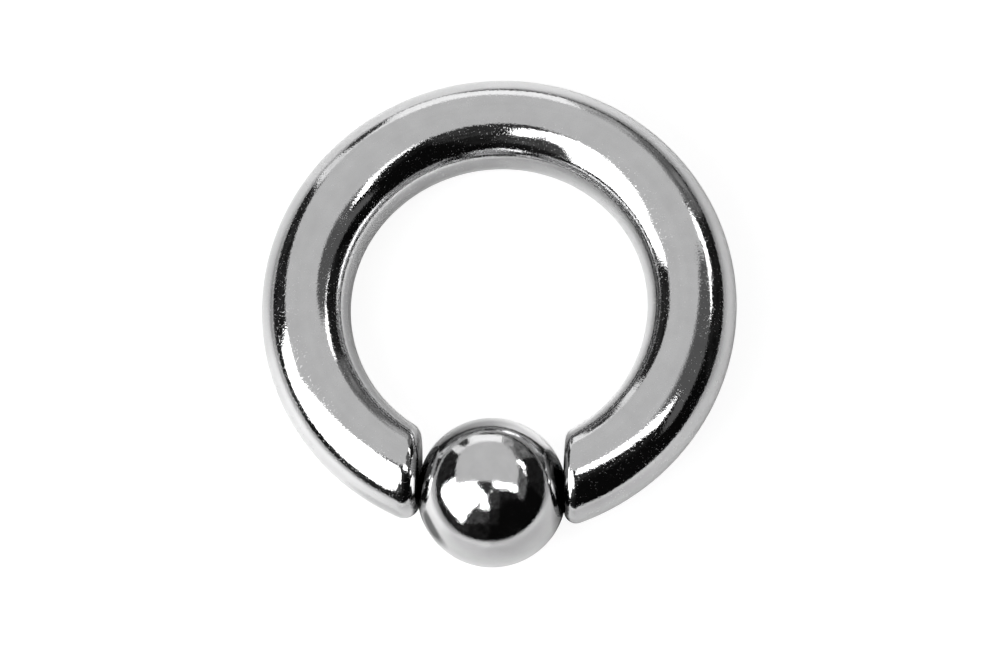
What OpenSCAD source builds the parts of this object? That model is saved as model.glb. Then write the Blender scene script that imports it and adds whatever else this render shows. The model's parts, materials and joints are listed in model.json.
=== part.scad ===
// Captive bead ring: a thick round wire bent into a ring, with a ball held in the gap between its two ends.
// It lies on its side as it would by itself. The ball is thicker than the wire, so the ring leans a little,
// and rests on the ball and on the side of the wire opposite to it, both at z = 0.

/* [Ring] */
// Diameter of the ring's wire
wire_d = 6; // [4:0.1:7]
// Clear diameter inside the ring
inner_d = 20; // [18:0.5:30]

/* [Ring ends] */
// Radius of the rounded edge of each end face
edge_r = 0.9; // [0.4:0.05:1]
// Depth of the dished seat in each end face
seat_depth = 0.2; // [0.1:0.01:0.3]

/* [Bead] */
// Diameter of the bead
bead_d = 10; // [8:0.1:12]
// Running clearance between the bead and its two seats
seat_clearance = 0.05; // [0.02:0.01:0.08]

/* [Hidden] */
$fn = 96;

wire_r = wire_d / 2;
bead_r = bead_d / 2;
seat_r = bead_r + seat_clearance;
// Radius of the wire's centreline, on which the bead's centre lies too
ring_r = (inner_d + wire_d) / 2;
// Half the gap between the two parallel end faces
gap_half = seat_r - seat_depth;
// Lean of the ring at rest
lean = asin((bead_r - wire_r) / (2 * ring_r));
// How far a cut runs on into the empty space around the wire
over = 1;

// The rounded edge is an arc up to this angle from the face. It runs just past the wire's wall, so that
// it rounds the edge all the way around.
arc_angle = 75;
arc_lap = 0.05;
arc_depth = edge_r * (1 - cos(arc_angle));
flat_r = wire_r + arc_lap - edge_r * sin(arc_angle);

// Inner and outer wall of the wire where the arc ends, measured from the ring's centre. The end faces are
// parallel, so they cut the wire at a slant and their outline is an oval.
arc_x = gap_half + arc_depth;
wall_in = sqrt(pow(ring_r - wire_r, 2) - pow(arc_x, 2));
wall_out = sqrt(pow(ring_r + wire_r, 2) - pow(arc_x, 2));
oval_y = -(wall_in + wall_out) / 2;
oval_stretch = (wall_out - wall_in) / wire_d;

// Puts the ring and its bead, made flat round the origin, where they rest
module at_rest() {
    translate([0, (bead_r - wire_r) / 2, (bead_r + wire_r) / 2])
        rotate([-lean, 0, 0])
            children();
}

// The gap through the wire, between two parallel faces
module gap_cut() {
    cut_y = ring_r + wire_r + over;
    cut_z = wire_r + over;
    translate([-gap_half, -cut_y, -cut_z])
        cube([2 * gap_half, cut_y, 2 * cut_z]);
}

// Section of what the rounding takes away: x is measured from the middle of the face, y is the depth from it
module edge_section() {
    difference() {
        translate([flat_r, -over])
            square([wire_r + over - flat_r, over + arc_depth]);
        translate([flat_r, edge_r])
            circle(edge_r);
    }
}

// Rounds the edge of the end face at positive x
module edge_cut() {
    translate([gap_half, oval_y, 0])
        scale([1, oval_stretch, 1])
            rotate([0, 90, 0])
                rotate_extrude()
                    edge_section();
}

module bead_ball(r) {
    translate([0, -ring_r, 0])
        sphere(r);
}

module ring() {
    color("silver")
        at_rest()
            difference() {
                rotate_extrude()
                    translate([ring_r, 0])
                        circle(wire_r);
                gap_cut();
                edge_cut();
                mirror([1, 0, 0])
                    edge_cut();
                bead_ball(seat_r);
            }
}

module bead() {
    color("gainsboro")
        at_rest()
            bead_ball(bead_r);
}

ring();
bead();
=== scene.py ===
"""A captive bead ring of polished steel, lying on a pale table under soft studio panels."""

import json
import math

import bmesh
import bpy
import numpy as np
from mathutils import Matrix, Vector


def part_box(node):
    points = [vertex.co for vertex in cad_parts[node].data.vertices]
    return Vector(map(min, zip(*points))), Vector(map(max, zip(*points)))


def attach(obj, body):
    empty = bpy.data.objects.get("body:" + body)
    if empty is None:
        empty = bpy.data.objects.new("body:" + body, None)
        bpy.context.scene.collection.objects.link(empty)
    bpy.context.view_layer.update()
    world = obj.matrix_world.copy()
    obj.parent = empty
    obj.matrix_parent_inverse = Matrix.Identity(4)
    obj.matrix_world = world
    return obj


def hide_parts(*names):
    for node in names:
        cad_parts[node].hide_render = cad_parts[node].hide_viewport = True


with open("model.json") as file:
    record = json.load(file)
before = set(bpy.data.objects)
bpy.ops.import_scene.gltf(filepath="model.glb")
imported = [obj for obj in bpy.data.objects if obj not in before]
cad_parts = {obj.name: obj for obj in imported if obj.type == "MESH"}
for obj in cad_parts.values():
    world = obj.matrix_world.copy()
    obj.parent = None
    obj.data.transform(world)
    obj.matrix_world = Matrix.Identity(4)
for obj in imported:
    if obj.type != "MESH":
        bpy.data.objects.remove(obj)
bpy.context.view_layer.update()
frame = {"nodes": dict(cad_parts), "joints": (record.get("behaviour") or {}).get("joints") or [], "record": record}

MM = 0.001
WHITE = (1, 1, 1, 1)

# Sizes of the ring and the bead, from the frame
wire_mount = frame["record"]["mounts"][0]
wire_r = wire_mount["dims"]["r_mm"] * MM
bead_centre = Vector(frame["joints"][0]["pos_m"])
wire_far = Vector(wire_mount["pos_m"])
bead_low, bead_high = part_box("bead")
bead_r = (bead_high.z - bead_low.z) / 2
ring_centre = (bead_centre + wire_far) / 2
ring_r = (bead_centre - wire_far).length / 2

# The ring's own axes: x to the right, y away from the bead, z out of the ring's plane
ring_y = (wire_far - bead_centre).normalized()
ring_x = Vector((1, 0, 0))
ring_z = ring_x.cross(ring_y)
ring_axes = Matrix((ring_x, ring_y, ring_z)).transposed()
bead_in_ring = np.array([0, -ring_r, 0])

# Half the gap between the two end faces, and the radius of their seats
near_side = [v.co for v in frame["nodes"]["ring"].data.vertices if v.co.y < ring_centre.y]
gap_half = min(abs(co.x) for co in near_side)
SEAT_CLEARANCE = 0.05 * MM
seat_r = bead_r + SEAT_CLEARANCE

# Camera: where it stands around the object, as seen from the photograph
CAMERA_AIM = Vector((-0.12, -0.48, 3.4)) * MM
CAMERA_DISTANCE = 606 * MM
CAMERA_ELEVATION = math.radians(76.27)
CAMERA_AZIMUTH = math.radians(14.95)
CAMERA_ROLL = math.radians(-13.46)
CAMERA_LENS = 325.96
CAMERA_SENSOR = 36


def make_camera():
    data = bpy.data.cameras.new("camera")
    data.lens = CAMERA_LENS
    data.sensor_width = CAMERA_SENSOR
    camera = bpy.data.objects.new("camera", data)
    bpy.context.collection.objects.link(camera)
    back = Vector((
        math.sin(CAMERA_AZIMUTH) * math.cos(CAMERA_ELEVATION),
        -math.cos(CAMERA_AZIMUTH) * math.cos(CAMERA_ELEVATION),
        math.sin(CAMERA_ELEVATION),
    ))
    turn = (-back).to_track_quat("-Z", "Y").to_matrix() @ Matrix.Rotation(CAMERA_ROLL, 3, "Z")
    camera.matrix_world = Matrix.Translation(CAMERA_AIM + CAMERA_DISTANCE * back) @ turn.to_4x4()
    bpy.context.scene.camera = camera


def new_object(name, mesh, material):
    mesh.materials.append(material)
    piece = bpy.data.objects.new(name, mesh)
    bpy.context.collection.objects.link(piece)
    return piece


def object_from_points(name, vertices, faces, material):
    mesh = bpy.data.meshes.new(name)
    mesh.from_pydata([tuple(v) for v in vertices], [], [tuple(f) for f in faces])
    mesh.update()
    return new_object(name, mesh, material)


def object_from_bmesh(name, shape, material):
    """Makes an object of a bmesh, and frees the bmesh."""
    mesh = bpy.data.meshes.new(name)
    shape.to_mesh(mesh)
    shape.free()
    return new_object(name, mesh, material)


def set_wear_and_gap_shade(mesh, places, gap_shade):
    """Stores for each point its place on the wire or the bead, and its share of painted shade near the seats."""
    mesh.attributes.new("wear_place", "FLOAT_VECTOR", "POINT").data.foreach_set("vector", np.ravel(places))
    mesh.attributes.new("gap_shade", "FLOAT", "POINT").data.foreach_set("value", np.clip(gap_shade, 0, 1))


# Ring: the wire's wall, a rounded edge rolled between the wall and each flat end, the flat and the seat
AROUND = 128
WALL_ROWS = 200
END_ROWS = 30
SEAT_ROWS = 8
LEFT_EDGE_R = 1.05 * MM
RIGHT_EDGE_R = 0.8 * MM

# How many points trace the edge, and about as many the flat, before they are spaced evenly
TRACE = 400

# How far from the end face the painted shade on the wire reaches, and the length of its fade up to there
RING_GAP_SHADE = (0.42 * MM, 0.3 * MM)


def slerp(start, end, share):
    """Unit vectors turned from start to end by a share of the angle between them; works on arrays."""
    angle = np.arccos(np.clip((start * end).sum(-1, keepdims=True), -1, 1))
    return (np.sin((1 - share) * angle) * start + np.sin(share * angle) * end) / np.sin(angle)


def angles_around():
    return np.arange(AROUND) * 2 * math.pi / AROUND


def wall_normal(around, along):
    """Outward normal of the wire's wall: around from the outside over the top, along from the bead."""
    return np.stack([
        np.cos(around) * np.sin(along),
        -np.cos(around) * np.cos(along),
        np.sin(around),
    ], -1)


def wall_point(around, along, radius):
    """Point at a radius from the wire's centreline."""
    spine = np.stack([np.sin(along), -np.cos(along), np.zeros_like(along)], -1) * ring_r
    return spine + radius * wall_normal(around, along)


def cut_at_seat(line):
    """The line of points up to where it enters the seat, with its last point on the seat's rim."""
    from_bead = np.linalg.norm(line - bead_in_ring, axis=1)
    first_in = int(np.argmax(from_bead < seat_r))
    step = (from_bead[first_in - 1] - seat_r) / (from_bead[first_in - 1] - from_bead[first_in])
    rim = line[first_in - 1] + step * (line[first_in] - line[first_in - 1])
    return np.concatenate([line[:first_in], rim[None]])


def spaced_evenly(line, count):
    length = np.concatenate([[0], np.cumsum(np.linalg.norm(np.diff(line, axis=0), axis=1))])
    at = np.linspace(0, length[-1], count)
    return np.stack([np.interp(at, length, line[:, k]) for k in range(3)], -1)


def end_line(around, edge_r):
    """Where the wall ends, and one line of points from there over the rounded edge and the flat to the rim
    of the seat. A ball that touches both the wall and the end face rolls the edge."""
    middle_r = wire_r - edge_r
    along = np.arcsin((gap_half + edge_r) / (ring_r + middle_r * np.cos(around)))
    ball = wall_point(around, along, middle_r)
    to_face = np.array([-1.0, 0, 0])
    share = np.linspace(0, 1, TRACE)[:, None]
    edge = ball + edge_r * slerp(wall_normal(around, along)[None], to_face[None], share)
    face_middle = np.array([gap_half, -ring_r, 0])
    flat = edge[-1] + share[1:] * (face_middle - edge[-1])
    return along, spaced_evenly(cut_at_seat(np.concatenate([edge, flat])), END_ROWS + 1)


def ring_half(edge_r):
    """Rows of points around the wire, from the far side of the ring to the rim of the seat and into it, and
    the seat's deepest point."""
    around = angles_around()
    ends = [end_line(a, edge_r) for a in around]
    end_along = np.array([along for along, _ in ends])
    rows = []
    for j in range(WALL_ROWS):
        rows.append(wall_point(around, math.pi + (end_along - math.pi) * j / WALL_ROWS, wire_r))
    end_points = np.stack([line for _, line in ends], 1)
    rows.extend(end_points)
    rim = (end_points[-1] - bead_in_ring) / seat_r
    deepest = np.array([[1.0, 0, 0]])
    for j in range(1, SEAT_ROWS):
        rows.append(bead_in_ring + seat_r * slerp(rim, deepest, j / SEAT_ROWS))
    return rows, bead_in_ring + seat_r * deepest[0]


def ring_faces(row_count):
    """Faces between the rows, and a fan in each seat round its deepest point. The two deepest points come
    after the rows, the left one first."""
    faces = []
    for j in range(row_count - 1):
        for k in range(AROUND):
            a = j * AROUND + k
            b = j * AROUND + (k + 1) % AROUND
            faces.append((a, b, b + AROUND, a + AROUND))
    last = (row_count - 1) * AROUND
    left_deepest = row_count * AROUND
    right_deepest = left_deepest + 1
    for k in range(AROUND):
        after = (k + 1) % AROUND
        faces.append((after, k, left_deepest))
        faces.append((last + k, last + after, right_deepest))
    return faces


def wire_places(rows):
    """For each point of the ring its place in a straight wire: the section across, and the length along it.
    The textures use it, so that wear runs along the wire."""
    around = angles_around()
    across = wire_r * np.stack([np.cos(around), np.sin(around)], -1)
    places = []
    for row in rows:
        along = np.arctan2(row[:, 0], -row[:, 1])
        along = np.where(along < 0, along + 2 * math.pi, along)
        places.append(np.column_stack([across, along * ring_r]))
    deepest = np.zeros((2, 3))
    deepest[0, 2] = places[0][0, 2]
    deepest[1, 2] = places[-1][0, 2]
    return np.concatenate(places + [deepest])


def sharpen_seat_rims(mesh, row_count):
    rim_rows = (SEAT_ROWS - 1, row_count - SEAT_ROWS)
    sharp = {row * AROUND + k for row in rim_rows for k in range(AROUND)}
    for edge in mesh.edges:
        a, b = edge.vertices
        edge.use_edge_sharp = a in sharp and b in sharp and a // AROUND == b // AROUND


def make_ring(material):
    right, right_deepest = ring_half(RIGHT_EDGE_R)
    left, left_deepest = ring_half(LEFT_EDGE_R)
    flip = np.array([-1.0, 1, 1])
    rows = [row * flip for row in reversed(left)] + right[1:]
    points = np.concatenate(rows + [(left_deepest * flip)[None], right_deepest[None]])
    placed = points @ np.array(ring_axes).T + np.array(ring_centre)
    ring = object_from_points("ring_polished", placed, ring_faces(len(rows)), material)
    mesh = ring.data
    reach, fade = RING_GAP_SHADE
    # Painted shade on the near side of the wire, close to each end face, where the gap to the bead is shaded
    gap_shade = np.where(points[:, 1] < 0, (gap_half + reach - abs(points[:, 0])) / fade, 0)
    set_wear_and_gap_shade(mesh, wire_places(rows), gap_shade)
    mesh.polygons.foreach_set("use_smooth", [True] * len(mesh.polygons))
    sharpen_seat_rims(mesh, len(rows))
    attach(ring, "ring")
    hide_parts("ring")
    return ring


# Bead: a ball whose mesh is a cube's grid blown up evenly, so that it has no poles
BEAD_CUTS = 56

# How far from the bead's middle its painted shade starts towards a seat, over what length it grows, and how
# much later it starts on the left
BEAD_GAP_SHADE = (4.1 * MM, 0.6 * MM)
LEFT_GAP_SHADE_LATER = 0.3 * MM


def make_bead(material):
    ball = bmesh.new()
    bmesh.ops.create_cube(ball, size=2)
    bmesh.ops.subdivide_edges(ball, edges=ball.edges[:], cuts=BEAD_CUTS, use_grid_fill=True)
    for v in ball.verts:
        even = Vector(math.tan(c * math.pi / 4) for c in v.co)
        v.co = bead_centre + bead_r * even.normalized()
    for face in ball.faces:
        face.smooth = True
    bead = object_from_bmesh("bead_polished", ball, material)
    start, growth = BEAD_GAP_SHADE
    places = np.array([v.co - bead_centre for v in bead.data.vertices])
    to_seat = np.where(places[:, 0] < 0, -places[:, 0] - LEFT_GAP_SHADE_LATER, places[:, 0])
    # Painted shade on the bead towards each seat, in the gap between the ring's ends
    set_wear_and_gap_shade(bead.data, places, (to_seat - start) / growth)
    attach(bead, "bead")
    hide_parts("bead")
    return bead


# Materials
class Shader:
    """A node material, with short calls to add nodes and link them."""

    def __init__(self, name):
        self.material = bpy.data.materials.new(name)
        self.material.use_nodes = True
        self.nodes = self.material.node_tree.nodes
        self.links = self.material.node_tree.links
        self.nodes.clear()
        self.output = self.nodes.new("ShaderNodeOutputMaterial")

    def add(self, kind, inputs=None, **settings):
        node = self.nodes.new("ShaderNode" + kind)
        for key, value in settings.items():
            setattr(node, key, value)
        for key, value in (inputs or {}).items():
            self.set(node, key, value)
        return node

    def set(self, node, key, value):
        if isinstance(value, bpy.types.NodeSocket):
            self.links.new(value, node.inputs[key])
        else:
            node.inputs[key].default_value = value

    def object_place(self):
        return self.add("TexCoord").outputs["Object"]

    def total(self, first, second):
        return self.add("Math", {0: first, 1: second}, operation="ADD").outputs["Value"]

    def product(self, first, second):
        return self.add("Math", {0: first, 1: second}, operation="MULTIPLY").outputs["Value"]

    def clamp(self, value, least, most):
        return self.add("Clamp", {"Value": value, "Min": least, "Max": most}).outputs["Result"]

    def ramp(self, value, levels, at_first, at_second):
        """Goes evenly from at_first to at_second while the value goes from the first level to the second."""
        first, second = levels
        return self.add("MapRange", {
            "Value": value, "From Min": first, "From Max": second, "To Min": at_first, "To Max": at_second,
        }).outputs["Result"]

    def glow(self, strength):
        return self.add("Emission", {"Color": WHITE, "Strength": strength}).outputs["Emission"]

    def diffuse(self, tone):
        return self.add("BsdfDiffuse", {"Color": tone}).outputs["BSDF"]

    def see_through(self):
        return self.add("BsdfTransparent").outputs["BSDF"]

    def both(self, first, second):
        """The sum of two shaders."""
        return self.add("AddShader", {0: first, 1: second}).outputs["Shader"]

    def surface(self, socket):
        self.links.new(socket, self.output.inputs["Surface"])


# Steel: the size of each kind of mark, and the depth of those that are bumps
WAVE_SIZE = 2.6 * MM
WAVE_DEPTH = 0.014 * MM
GRAIN_SIZE = 0.45 * MM
GRAIN_DEPTH = 0.0022 * MM
SPECK_SIZE = 0.13 * MM
SPECK_DEPTH = 0.005 * MM
SCRATCH_SIZE = 0.16 * MM
SCRATCH_DEPTH = 0.00025 * MM
PIT_SIZE = 0.12 * MM
SMUDGE_SIZE = 1.4 * MM

# Levels of noise between which scratches deepen, pits roughen, smudges dull and grow paler, and the painted
# shade near the seats goes from thin to full
SCRATCH_LEVELS = (0.66, 0.72)
PIT_LEVELS = (0.65, 0.69)
DULL_LEVELS = (0.35, 0.7)
TONE_LEVELS = (0.3, 0.7)
GAP_SHADE_LEVELS = (0.3, 0.6)

CLEAR_ROUGHNESS = 0.04
DULL_ROUGHNESS = 0.1
DARK_STEEL = (0.55, 0.55, 0.553, 1)
PALE_STEEL = (0.6, 0.6, 0.604, 1)
# The painted shade in the gap between the ring's ends and the bead: its colour, and its thinnest share
GAP_SHADE_COLOUR = (0.03, 0.03, 0.03, 1)
THIN_GAP_SHADE = 0.7

# The scale multiplies the wear coordinates of grain and scratches. Below 1 it draws them out along that
# axis.
RING_SCALE = (1, 1, 0.08)
RING_PIT_ROUGHNESS = 0.22
BEAD_SCALE = (1, 0.15, 0.15)
BEAD_PIT_ROUGHNESS = 0.07


def steel(name, scale, pit_roughness):
    """Mirror polished steel with shallow waves, fine grain, sparse scratches, duller spots and tiny pits."""
    s = Shader(name)
    place = s.add("Attribute", attribute_name="wear_place").outputs["Vector"]
    drawn = s.add("Mapping", {"Vector": place, "Scale": scale}).outputs["Vector"]

    def noise(vector, size, detail):
        return s.add("TexNoise", {"Vector": vector, "Scale": 1 / size, "Detail": detail}).outputs["Fac"]

    def bump(height, depth, under=None):
        inputs = {"Height": height, "Strength": 1.0, "Distance": depth}
        if under:
            inputs["Normal"] = under
        return s.add("Bump", inputs).outputs["Normal"]

    scratches = s.ramp(noise(drawn, SCRATCH_SIZE, detail=1.0), SCRATCH_LEVELS, 1.0, 0.0)
    normal = bump(noise(place, WAVE_SIZE, detail=1.0), WAVE_DEPTH)
    normal = bump(noise(drawn, GRAIN_SIZE, detail=2.0), GRAIN_DEPTH, normal)
    normal = bump(noise(place, SPECK_SIZE, detail=2.0), SPECK_DEPTH, normal)
    normal = bump(scratches, SCRATCH_DEPTH, normal)

    smudges = noise(place, SMUDGE_SIZE, detail=4.0)
    pits = s.ramp(noise(place, PIT_SIZE, detail=1.0), PIT_LEVELS, 0.0, pit_roughness)
    roughness = s.total(s.ramp(smudges, DULL_LEVELS, CLEAR_ROUGHNESS, DULL_ROUGHNESS), pits)

    tone = s.add("ValToRGB", {"Fac": smudges})
    for element, level, colour in zip(tone.color_ramp.elements, TONE_LEVELS, (DARK_STEEL, PALE_STEEL)):
        element.position = level
        element.color = colour
    # Painted shade near the seats, made uneven by the smudges
    gap_shade = s.add("Attribute", attribute_name="gap_shade").outputs["Fac"]
    gap_shade_share = s.product(gap_shade, s.ramp(smudges, GAP_SHADE_LEVELS, THIN_GAP_SHADE, 1.0))
    colour = s.add("MixRGB", {
        "Fac": gap_shade_share, "Color1": tone.outputs["Color"], "Color2": GAP_SHADE_COLOUR,
    }).outputs["Color"]
    shader = s.add("BsdfPrincipled", {
        "Base Color": colour, "Metallic": 1.0, "Roughness": roughness, "Normal": normal,
    })
    s.surface(shader.outputs["BSDF"])
    return s.material


def lamp(name, strength):
    """A plain lamp surface."""
    s = Shader(name)
    s.surface(s.glow(strength))
    return s.material


# Levels of noise between which a blotch goes from its faintest to its strongest
BLOTCH_LEVELS = (0.35, 0.65)


def clutter(name, low, high, size):
    """Things in the room, as blotches between two brightnesses."""
    s = Shader(name)
    blotches = s.add("TexNoise", {
        "Vector": s.object_place(), "Scale": 1 / size, "Detail": 5.0, "Roughness": 0.6,
    }).outputs["Fac"]
    s.surface(s.glow(s.ramp(blotches, BLOTCH_LEVELS, low, high)))
    return s.material


# A paper's grain: the scale of its noise, and its darkest and palest share of the paper's tone
PAPER_GRAIN = 900.0
PAPER_DARK = 0.96
PAPER_PALE = 1.04


def paper_tone(s, paleness):
    """A sheet's own tone, with a faint grain."""
    grain = s.add("TexNoise", {
        "Vector": s.object_place(), "Scale": PAPER_GRAIN, "Detail": 3.0,
    }).outputs["Fac"]
    return s.ramp(grain, (0.0, 1.0), PAPER_DARK * paleness, PAPER_PALE * paleness)


FLOOR_TONE = 0.2
FLOOR_LIGHT = 0.9


def lit_floor_material():
    """A pale sheet with light under it, so that shadows on it are faint."""
    s = Shader("floor_sheet")
    s.surface(s.both(s.diffuse(paper_tone(s, FLOOR_TONE)), s.glow(FLOOR_LIGHT)))
    return s.material


# Table, whose tone is painted light and shade: its tone in the middle, and how much that grows over one
# tone size to the right and away. It also grows towards the far right and near left corners and shrinks
# towards the other two, within limits.
TONE_SIZE = 24 * MM
TABLE_TONE = 0.79
TONE_TO_RIGHT = 0.04
TONE_AWAY = 0.09
TONE_TO_CORNERS = 0.3
CORNER_LIMITS = (-0.2, 0.25)
TONE_LIMITS = (0.3, 0.97)

# Between which places, in tone sizes, it fades to a share of its tone at the left, and at the far right
LEFT_FADE = (-1.0, -1.8)
LEFT_FADED = 0.6
RIGHT_FADE = (1.0, 2.5)
RIGHT_FADE_AWAY = 0.8
RIGHT_FADED = 0.5

# Inside the ring it has painted shade. The bright side of the wire throws light on the right and near parts,
# painted as a gain which grows between these places, in tone sizes. All this ends at the rim.
INSIDE_PAINTED_SHADE = 0.68
INSIDE_RIGHT = (-0.04, 0.17)
INSIDE_RIGHT_GAIN = 0.38
INSIDE_NEAR = (0.04, -0.17)
INSIDE_NEAR_GAIN = 0.5
INSIDE_RIM = (8.5 * MM, 10 * MM)

# Painted contact shadow: it is dark under the wire and the bead, and gets its tone back between these distances
# from their middle
CONTACT_SHADOW_TONE = 0.08
WIRE_CONTACT_SHADOW = (0.7 * wire_r, 1.1 * wire_r)
BEAD_CONTACT_SHADOW = (0.6 * bead_r, 1.05 * bead_r)

# Places on the table with painted light or shade, paler or darker than the rest, and places that glow with
# painted light. Each has its x and y, the radius up to which it has its full strength and the radius where
# it ends, in millimetres, and its strength.
LIT_AND_SHADED_SPOTS = [
    (-26, -15, 5, 20, 0.14),
    (-10, -34, 6, 20, -0.18),
    (15, -29, 5, 24, -0.15),
    (-44, 12, 4, 16, -0.2),
    (46, -4, 5, 26, -0.16),
]
PAINTED_LIGHT_SPOTS = [
    (-8, 36, 10, 34, 0.18),
    (-30, -8, 3, 12, 0.2),
    (-24, -24, 4, 14, 0.12),
    (-42, -24, 5, 18, 0.14),
]


def distance_to(s, place, x, y):
    return s.add("VectorMath", {0: place, 1: (x, y, 0)}, operation="DISTANCE").outputs["Value"]


def with_spots(s, place, value, spots):
    """Adds to a value what each spot gives around it."""
    for right, away, full, end, strength in spots:
        from_spot = distance_to(s, place, right * MM, away * MM)
        value = s.total(value, s.ramp(from_spot, (full * MM, end * MM), strength, 0.0))
    return value


def painted_table_light(s, place, x, y):
    """The table's painted light and shade without the ring."""
    tone = s.total(s.product(x, TONE_TO_RIGHT), s.product(y, TONE_AWAY))
    corner = s.clamp(s.product(x, y), *CORNER_LIMITS)
    tone = s.total(s.total(tone, TABLE_TONE), s.product(corner, TONE_TO_CORNERS))
    tone = s.clamp(with_spots(s, place, tone, LIT_AND_SHADED_SPOTS), *TONE_LIMITS)
    tone = s.product(tone, s.ramp(x, LEFT_FADE, 1.0, LEFT_FADED))
    return s.product(tone, s.ramp(s.total(x, s.product(y, RIGHT_FADE_AWAY)), RIGHT_FADE, 1.0, RIGHT_FADED))


def painted_light_inside_ring(s, from_middle, x, y):
    """The share of its tone, with painted shade and light, that the table has inside the ring, and 1 outside it.
    """
    right = s.ramp(x, INSIDE_RIGHT, 0.0, INSIDE_RIGHT_GAIN)
    near = s.ramp(y, INSIDE_NEAR, 0.0, INSIDE_NEAR_GAIN)
    inside = s.total(s.total(right, near), INSIDE_PAINTED_SHADE)
    return s.add("MixRGB", {
        "Fac": s.ramp(from_middle, INSIDE_RIM, 1.0, 0.0), "Color1": WHITE, "Color2": inside,
    }).outputs["Color"]


def table_material():
    """The sheet under the ring: uneven painted light and shade, with painted shadow under wire and bead."""
    s = Shader("table_sheet")
    place = s.object_place()
    unit = s.add("VectorMath", {0: place, "Scale": 1 / TONE_SIZE}, operation="SCALE").outputs["Vector"]
    axes = s.add("SeparateXYZ", {"Vector": unit}).outputs
    x = axes["X"]
    y = axes["Y"]
    from_middle = distance_to(s, place, 0, ring_centre.y)
    tone = s.product(painted_table_light(s, place, x, y), painted_light_inside_ring(s, from_middle, x, y))
    off_wire = s.add("Math", {0: s.total(from_middle, -ring_r)}, operation="ABSOLUTE").outputs["Value"]
    off_bead = distance_to(s, place, 0, bead_centre.y)
    # Painted contact shadow under the wire and the bead
    tone = s.product(tone, s.ramp(off_wire, WIRE_CONTACT_SHADOW, CONTACT_SHADOW_TONE, 1.0))
    tone = s.product(tone, s.ramp(off_bead, BEAD_CONTACT_SHADOW, CONTACT_SHADOW_TONE, 1.0))
    sheet = s.diffuse(s.product(tone, paper_tone(s, 1.0)))
    # The glowing spots are painted light on the sheet
    s.surface(s.both(sheet, s.glow(with_spots(s, place, 0.0, PAINTED_LIGHT_SPOTS))))
    return s.material


# A painted shadow just over the table: its place, its two radii, the shares of the way in between which it
# fades in, its fullest share and its light. The ring gets its light and sees it about as pale as the table.
# The bead doesn't, and sees it dark.
SPOT_PLACE = Vector((-9.6, -16.2, 0.02)) * MM
SPOT_SIZE = (5 * MM, 3.8 * MM)
SPOT_SOFT = (0.0, 0.5)
SPOT_FULLEST = 0.75
SPOT_LIGHT = 0.85


def spot_material():
    """A glow that fades out towards its rim."""
    s = Shader("bead_shadow")
    from_rim = s.add("TexGradient", {"Vector": s.object_place()}, gradient_type="SPHERICAL").outputs["Fac"]
    share = s.ramp(from_rim, SPOT_SOFT, 0.0, SPOT_FULLEST)
    both = s.add("MixShader", {"Fac": share, 1: s.see_through(), 2: s.glow(SPOT_LIGHT)})
    s.surface(both.outputs["Shader"])
    return s.material


# Studio
TABLE_R = 0.155
FLOOR_R = 1.1
FLOOR_Z = -0.05 * MM
DISC_CORNERS = 96
ROOM_TONE = (0.004, 0.004, 0.004, 1)
BACKDROP_LIGHT = 0.97
BACKDROP_AROUND = 48
BACKDROP_ROWS = 24
BOUNCES = 10

# The longest edge of a panel's faces, in degrees, and the size of the blotches at one metre
PANEL_STEP = 5
CLUTTER_SIZE = 0.08


def disc(name, radius, z, material):
    angles = [2 * math.pi * k / DISC_CORNERS for k in range(DISC_CORNERS)]
    points = [(radius * math.cos(a), radius * math.sin(a), z) for a in angles]
    piece = object_from_points(name, points, [range(DISC_CORNERS)], material)
    return piece


def on_dome(right, away, distance):
    """Point on a dome around the bead, that many degrees to the right and away from straight above."""
    lean = math.radians(math.hypot(right, away))
    heading = math.atan2(away, right)
    flat = Vector((math.cos(heading), math.sin(heading), 0))
    return bead_centre + distance * (math.sin(lean) * flat + math.cos(lean) * Vector((0, 0, 1)))


def panel(name, material, corners, distance):
    """A glowing sheet on the dome, whose corners are degrees to the right and away from straight above."""
    sheet = bmesh.new()
    sheet.faces.new([sheet.verts.new((right, away, 0)) for right, away in corners])
    sheet.normal_update()
    too_long = sheet.edges[:]
    while too_long:
        bmesh.ops.triangulate(sheet, faces=sheet.faces[:])
        too_long = [edge for edge in sheet.edges if edge.calc_length() > PANEL_STEP]
        bmesh.ops.subdivide_edges(sheet, edges=too_long, cuts=1)
    for v in sheet.verts:
        v.co = on_dome(v.co.x, v.co.y, distance)
    piece = object_from_bmesh(name, sheet, material)
    piece.visible_camera = False
    return piece


# The roof is a pale sheet held level over the far half of the table. The side roof goes on to its right, and
# the shade is a dim sheet just under that. Their corners are in millimetres.
ROOF_LIGHT = (0.75, 0.79)
ROOF_BLOTCH_SIZE = 0.04
ROOF_Z = 100 * MM
SIDE_ROOF_Z = 137 * MM
SHADE_Z = 136 * MM
ROOF = [
    (-130, -4.5), (-132, 22), (-158, 92), (-195, 192), (-200, 290), (-145, 313), (-80, 318), (64, 300),
    (77, 213), (94, 145), (102, 108), (100, 75), (73, 67), (47, 46), (35, 28), (37, -4.5),
]
SIDE_ROOF = [(40, -2.4), (117, -8), (125, 19), (135, 74), (139, 112), (40, 112)]
SHADE = [
    (20, -8), (103, -6), (124, -11), (139, -45), (189, -86), (225, -81), (218, 20), (205, 75),
    (165, 105), (115, 125), (90, 97), (60, 64), (20, 62),
]

# The shade dims from its left end to the rest between these places along x
SHADE_FADE = (44 * MM, 66 * MM)
SHADE_LEFT_LIGHT = 0.76
SHADE_LIGHT = 0.135

# The brightness of the windows, of the sliver and of the card
WINDOW = 5.5

# A bright card to the right and away, with its corners in millimetres
SIDE_CARD = [(112, 75, 94), (150, 47, 104), (212, 72, 139), (183, 130, 145)]

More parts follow.
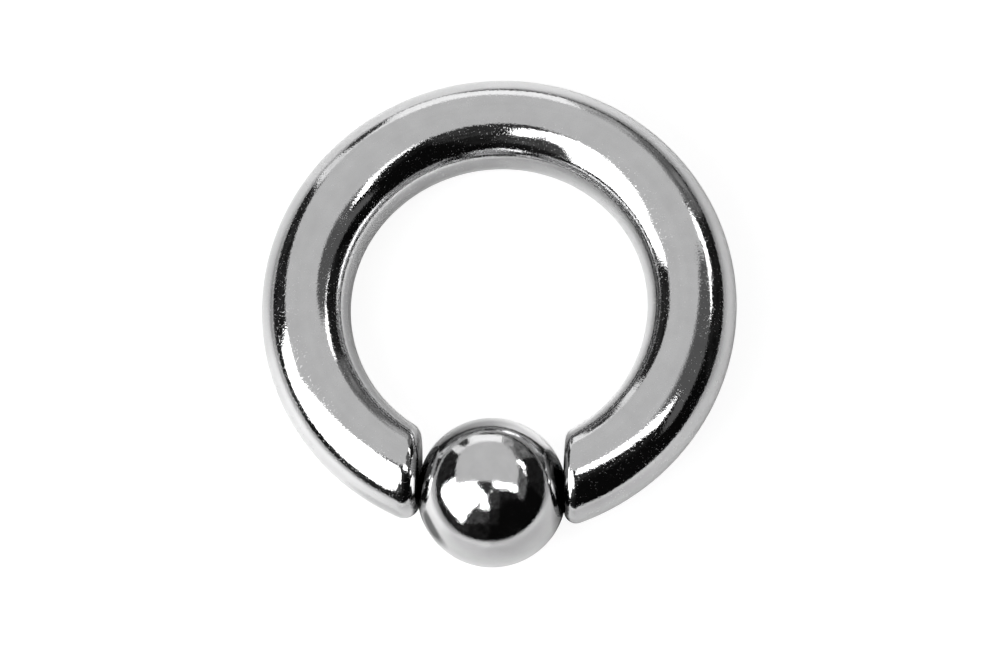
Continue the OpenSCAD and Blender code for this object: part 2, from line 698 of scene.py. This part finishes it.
# Each panel has its faintest and strongest brightness, its distance in metres, and its corners in degrees to
# the right (+) and away (+) from straight above the bead
PANELS = {
    "far_strip": (1.35, 1.6, 0.9, [(-36, 66), (-34, 88.6), (13, 88.6), (15, 66)]),
    "far_left_glow": (0.8, 1.5, 0.9, [(-67, 70), (-52, 54), (-40, 58), (-30, 68), (-34, 88), (-52, 76)]),
    "far_left_spot": (0.02, 0.1, 0.85, [(-56, 73), (-48, 84), (-39, 83), (-36, 73), (-43, 66)]),
    "far_right_near": (0.3, 0.8, 0.9, [(13, 66), (13, 88), (28, 86), (32, 66), (40, 50), (30, 44)]),
    "far_right_wall": (0.06, 0.34, 0.9, [(26, 66), (27, 86), (48, 76), (66, 60), (52, 50), (40, 46)]),
    "right_wall": (0.05, 0.3, 0.9, [
        (36, 36), (54, 32), (59, 8), (54, -20), (45, -16), (38, -8), (36, 10),
    ]),
    "left_window": (WINDOW, WINDOW, 0.8, [
        (-40, 14), (-55, 14.5), (-76.5, 5.5), (-80.5, -3), (-79.2, -12.8), (-73, -28), (-64, -42),
        (-48, -59), (-34, -43), (-27, -36), (-20, -33), (-17, -25.5), (-14, -25.5), (-14, -38), (-7, -38),
        (-7, 14),
    ]),
    "left_window_end": (WINDOW, WINDOW, 0.8, [
        (-7, -10), (4, -10), (-3.5, -24), (-0.5, -31), (-0.5, -38), (-7, -38),
    ]),
    "right_window": (WINDOW, WINDOW, 0.28, [
        (5.4, 10), (20, 13), (36, 13), (38, -8), (27, -5.4), (18, -6.4), (6, -4),
    ]),
    "right_window_end": (WINDOW, WINDOW, 0.28, [(36, 13), (39, 12), (43.5, -8.4), (38, -8)]),
    "sliver": (WINDOW, WINDOW, 0.6, [
        (36, 40), (38, 45), (45, 44.5), (50, 40), (53.5, 34), (53, 31), (49, 34), (43, 37),
    ]),
    "zenith_dark": (0.004, 0.09, 0.16, [
        (-24, 14), (-20, 5), (-20, 1), (-16, -4), (-13, -9), (-9, -11), (-8, -14), (-4, -16), (-3.5, -27),
        (0, -30), (3, -28), (2, -6), (3, 14),
    ]),
    "zenith_clutter": (0.004, 0.09, 1.0, [
        (1, 14), (6, 12), (6, 0), (18, -8), (16, -36), (-2, -40), (-1, -24),
    ]),
    "near_clutter": (0.002, 0.03, 1.0, [(-4, -36), (16, -36), (15, -62), (-4, -62)]),
    "right_low_clutter": (0.0, 0.03, 1.0, [(6, 0), (44, -6), (40, -22), (17, -24), (18, -8)]),
    "left_low_clutter": (0.0, 0.045, 1.0, [
        (-92, 10), (-92, -20), (-80, -50), (-62, -70), (-38, -84), (-36, -60), (-46, -54), (-60, -36),
        (-70, -10), (-60, 10),
    ]),
    "left_mid_clutter": (0.01, 0.14, 1.0, [
        (-46, -54), (-31, -38), (-20, -22), (-10, -22), (0, -36), (0, -60), (-36, -62),
    ]),
    "left_dark_clutter": (0.0, 0.025, 1.0, [(-36, -60), (0, -58), (0, -92), (-38, -84)]),
    "left_far_clutter": (0.0, 0.05, 1.0, [
        (-92, 30), (-92, 10), (-60, 10), (-50, 20), (-52, 60), (-72, 70),
    ]),
    "right_clutter": (0.0, 0.03, 1.0, [(50, 52), (72, 60), (92, 30), (92, -10), (60, 10)]),
}

# Panels whose light the ring doesn't get
DARK_FOR_RING = ("right_wall", "left_window_end", "right_window_end")


def level_sheet(name, corners, z, material):
    points = [(x * MM, y * MM, z) for x, y in corners]
    piece = object_from_points(name, points, [range(len(corners))], material)
    piece.visible_camera = False
    return piece


def light_only(piece, receivers):
    """Keeps a panel's light for these pieces. The others see the panel without its light."""
    group = bpy.data.collections.new(piece.name + "_receivers")
    for receiver in receivers:
        group.objects.link(receiver)
    piece.light_linking.receiver_collection = group


def shade_material():
    """A glowing see-through sheet that dims to the right of its left end."""
    s = Shader("roof_shade")
    across = s.add("SeparateXYZ", {"Vector": s.object_place()}).outputs["X"]
    light = s.glow(s.ramp(across, SHADE_FADE, SHADE_LEFT_LIGHT, SHADE_LIGHT))
    s.surface(s.both(light, s.see_through()))
    return s.material


def make_table():
    table = disc("table", TABLE_R, 0, table_material())
    table.visible_camera = False
    table.visible_diffuse = False
    return table


def make_floor():
    floor = disc("floor", FLOOR_R, FLOOR_Z, lit_floor_material())
    floor.visible_glossy = False
    floor.visible_diffuse = False
    return floor


def make_roofs(ring, not_ring):
    roof_sheet = clutter("roof_sheet", *ROOF_LIGHT, ROOF_BLOTCH_SIZE)
    level_sheet("roof", ROOF, ROOF_Z, roof_sheet)
    light_only(level_sheet("side_roof", SIDE_ROOF, SIDE_ROOF_Z, roof_sheet), not_ring)
    light_only(level_sheet("roof_shade", SHADE, SHADE_Z, shade_material()), [ring])


def make_side_card(ring, bead):
    corners = [Vector(corner) * MM for corner in SIDE_CARD]
    card = object_from_points("side_card", corners, [range(len(corners))], lamp("side_card", WINDOW))
    card.visible_camera = False
    light_only(card, [ring, bead])


def make_panels(not_ring):
    for name, (low, high, distance, corners) in PANELS.items():
        piece = panel(name, clutter(name, low, high, CLUTTER_SIZE * distance), corners, distance)
        if name in DARK_FOR_RING:
            light_only(piece, not_ring)


def make_spot(ring):
    spot = disc("bead_shadow", 1, 0, spot_material())
    spot.matrix_world = Matrix.Translation(SPOT_PLACE) @ Matrix.Diagonal((*SPOT_SIZE, 1, 1))
    spot.visible_camera = False
    spot.visible_diffuse = False
    light_only(spot, [ring])


def make_studio(ring, bead):
    table = make_table()
    floor = make_floor()
    not_ring = [bead, table, floor]
    make_roofs(ring, not_ring)
    make_side_card(ring, bead)
    make_panels(not_ring)
    make_spot(ring)
    world = bpy.data.worlds.new("studio")
    world.use_nodes = True
    world.node_tree.nodes["Background"].inputs["Color"].default_value = ROOM_TONE
    bpy.context.scene.world = world


def make_backdrop():
    """A pale dome that only the camera sees, behind the object in the side views."""
    shell = bmesh.new()
    bmesh.ops.create_uvsphere(shell, u_segments=BACKDROP_AROUND, v_segments=BACKDROP_ROWS, radius=FLOOR_R)
    backdrop = object_from_bmesh("backdrop", shell, lamp("backdrop", BACKDROP_LIGHT))
    backdrop.visible_glossy = False
    backdrop.visible_diffuse = False
    backdrop.visible_shadow = False


def set_view():
    scene = bpy.context.scene
    scene.view_settings.view_transform = "Standard"
    scene.view_settings.look = "None"
    scene.cycles.glossy_bounces = BOUNCES
    scene.cycles.max_bounces = BOUNCES


make_camera()
ring = make_ring(steel("ring_steel", RING_SCALE, RING_PIT_ROUGHNESS))
bead = make_bead(steel("bead_steel", BEAD_SCALE, BEAD_PIT_ROUGHNESS))
make_studio(ring, bead)
make_backdrop()
set_view()
